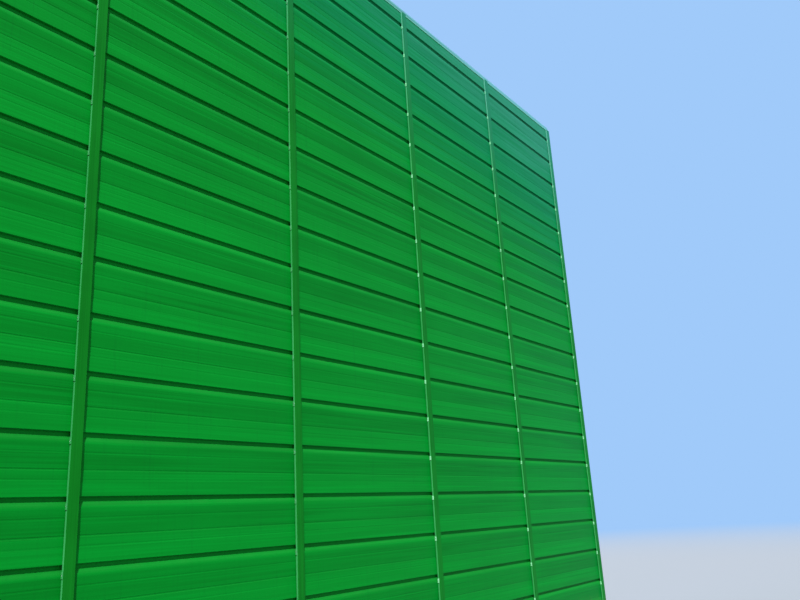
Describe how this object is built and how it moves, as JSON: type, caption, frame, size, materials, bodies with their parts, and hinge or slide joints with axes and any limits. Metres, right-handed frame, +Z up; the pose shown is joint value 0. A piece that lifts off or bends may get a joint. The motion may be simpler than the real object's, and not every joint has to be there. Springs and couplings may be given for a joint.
{
  "type": "acoustic barrier wall",
  "caption": "Tall green steel acoustic barrier: ribbed panels stacked between H-section posts, with a small clip under each joint.",
  "frame": {"origin": "underside of the middle post's base plate, at the centre of the post", "axes": "+X along the wall, the visible front face looks towards -Y, +Z up"},
  "size_m": [15.26, 0.3, 9.321],
  "materials": {
    "panel_paint": "satin",
    "post_paint": "satin",
    "clip_paint": "gloss",
    "coping_paint": "satin",
    "seal_rubber": "matte"
  },
  "bodies": {
    "root": {"post_1": "post_paint", "base_plate_1": "post_paint", "edge_strips_1": "post_paint", "panel_clips_1": "clip_paint", "post_2": "post_paint", "base_plate_2": "post_paint", "edge_strips_2": "post_paint", "panel_clips_2": "clip_paint", "post_3": "post_paint", "base_plate_3": "post_paint", "edge_strips_3": "post_paint", "panel_clips_3": "clip_paint", "post_4": "post_paint", "base_plate_4": "post_paint", "edge_strips_4": "post_paint", "panel_clips_4": "clip_paint", "post_5": "post_paint", "base_plate_5": "post_paint", "edge_strips_5": "post_paint", "panel_clips_5": "clip_paint", "post_6": "post_paint", "base_plate_6": "post_paint", "edge_strips_6": "post_paint", "panel_clips_6": "clip_paint", "post_7": "post_paint", "base_plate_7": "post_paint", "edge_strips_7": "post_paint", "panel_clips_7": "clip_paint", "panels_bay_1": "panel_paint", "top_cap_1": "coping_paint", "panels_bay_2": "panel_paint", "top_cap_2": "coping_paint", "panels_bay_3": "panel_paint", "top_cap_3": "coping_paint", "panels_bay_4": "panel_paint", "top_cap_4": "coping_paint", "panels_bay_5": "panel_paint", "top_cap_5": "coping_paint", "panels_bay_6": "panel_paint", "top_cap_6": "coping_paint", "ground_seals": "seal_rubber"}
  },
  "joints": []
}
